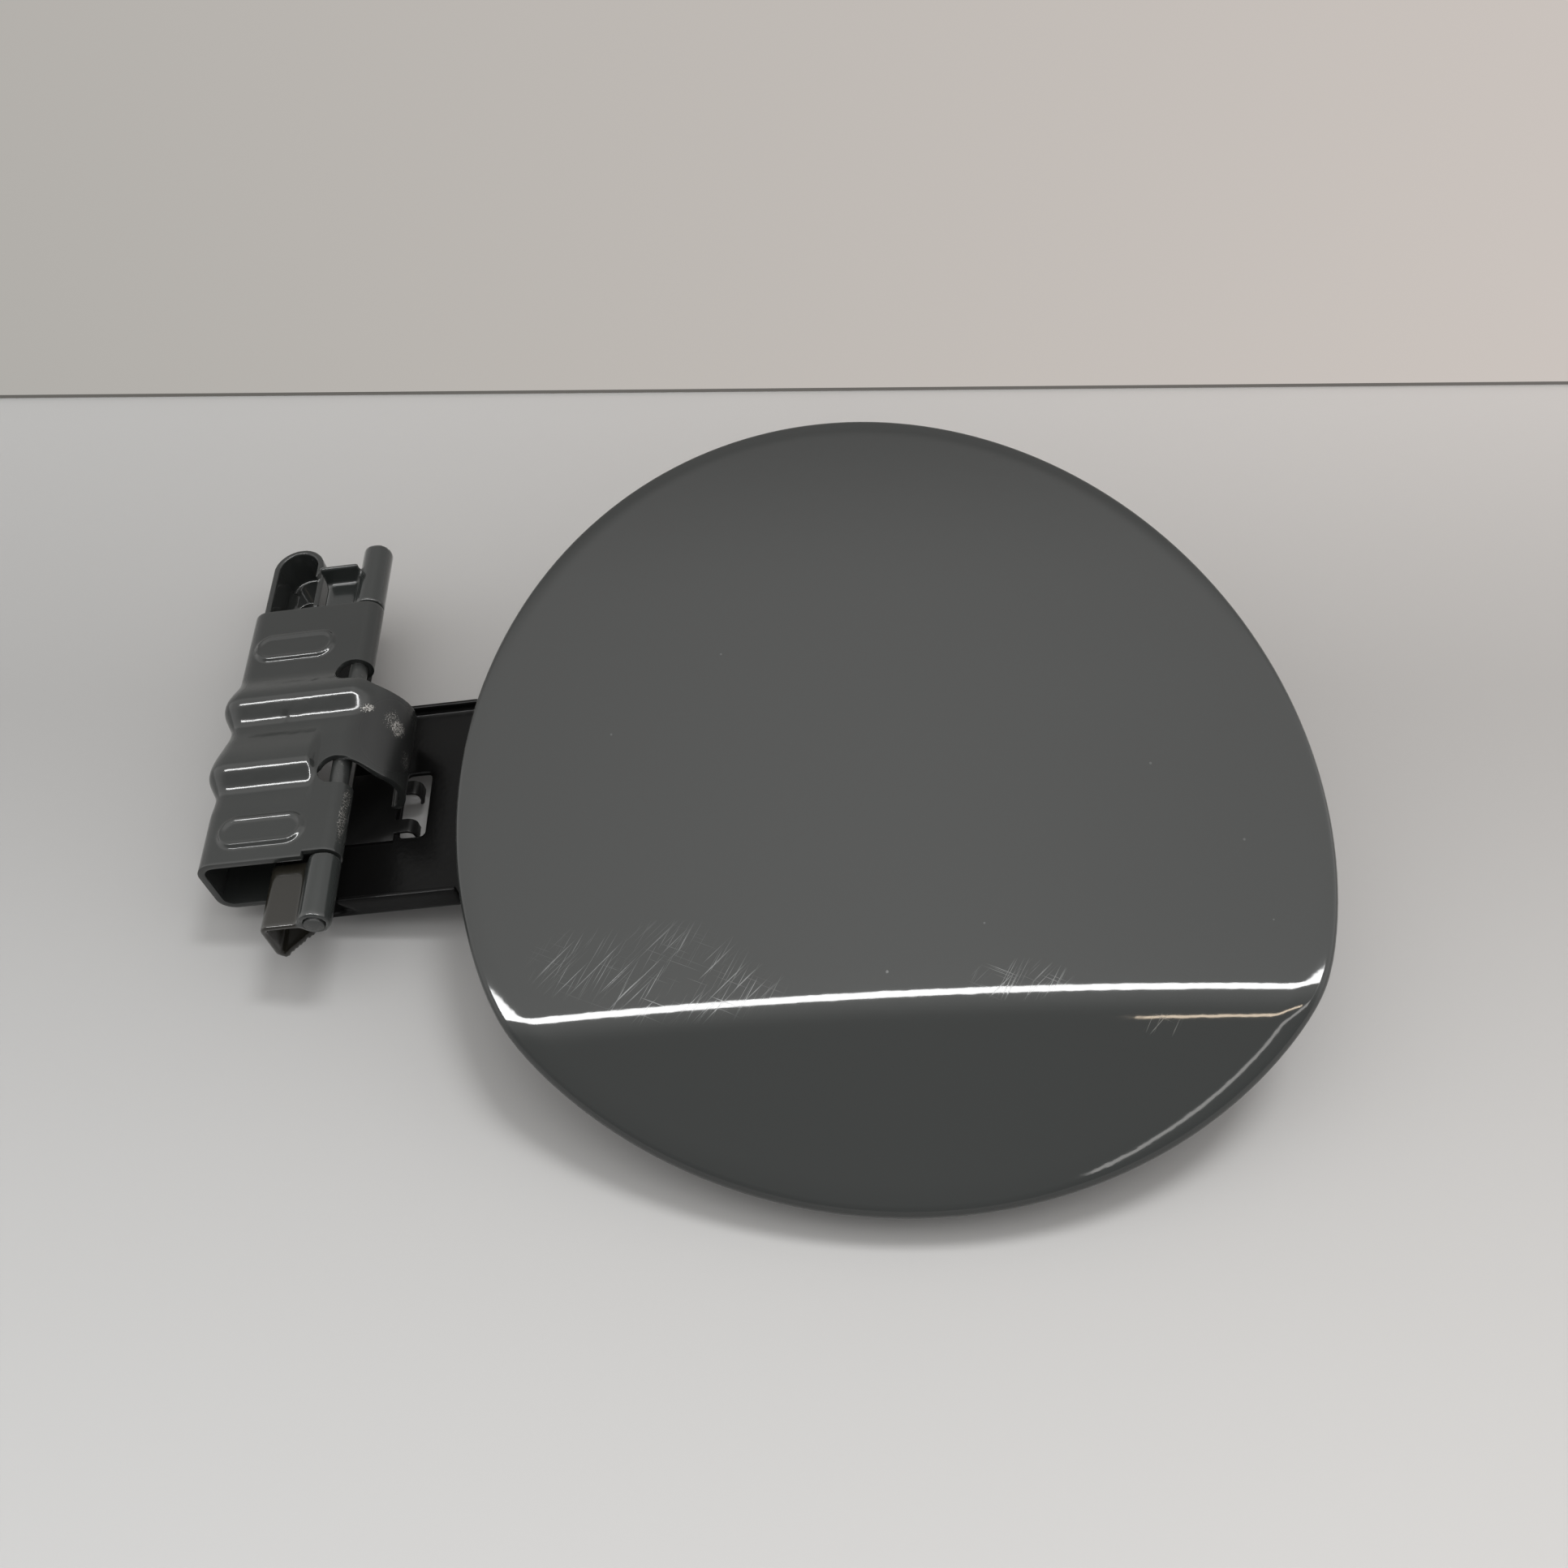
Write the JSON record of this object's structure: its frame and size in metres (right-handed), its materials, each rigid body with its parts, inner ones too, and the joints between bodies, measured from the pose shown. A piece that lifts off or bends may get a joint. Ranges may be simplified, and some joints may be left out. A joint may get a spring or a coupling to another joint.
{
  "type": "car fuel door",
  "caption": "Round painted steel fuel door with a body crease, on a pressed black arm hinged by a pin to a ribbed base with a spring-held cam tongue.",
  "frame": {"origin": "midway between the two fixing holes, on the lower face of the base's foot", "axes": "+Z out of the car through the door, +Y along the hinge pin away from the crease, +X from the hinge to the lid"},
  "size_m": [0.2258, 0.166, 0.0584],
  "materials": {
    "body_paint": "gloss solid dark grey",
    "hinge_paint": "gloss dark grey, worn on the cam tongue",
    "black_coat": "satin black coat",
    "pin_steel": "painted over with the hinge",
    "striker_steel": "zinc plated",
    "rubber": "matte black"
  },
  "bodies": {
    "base": {"hinge_base": "hinge_paint"},
    "door": {"outer_panel": "body_paint", "inner_panel": "body_paint", "hinge_arm": "black_coat", "hinge_pin": "pin_steel", "cam_spring": "black_coat", "latch_striker": "striker_steel", "rubber_stop_far": "rubber", "rubber_stop_near": "rubber", "rubber_stop_side": "rubber"}
  },
  "joints": [
    {"name": "door_hinge", "type": "hinge", "parent": "base", "child": "door", "pos_m": [0.0205, 0, 0.0123], "axis": [0, -1, 0], "range_deg": [0, 95]}
  ]
}
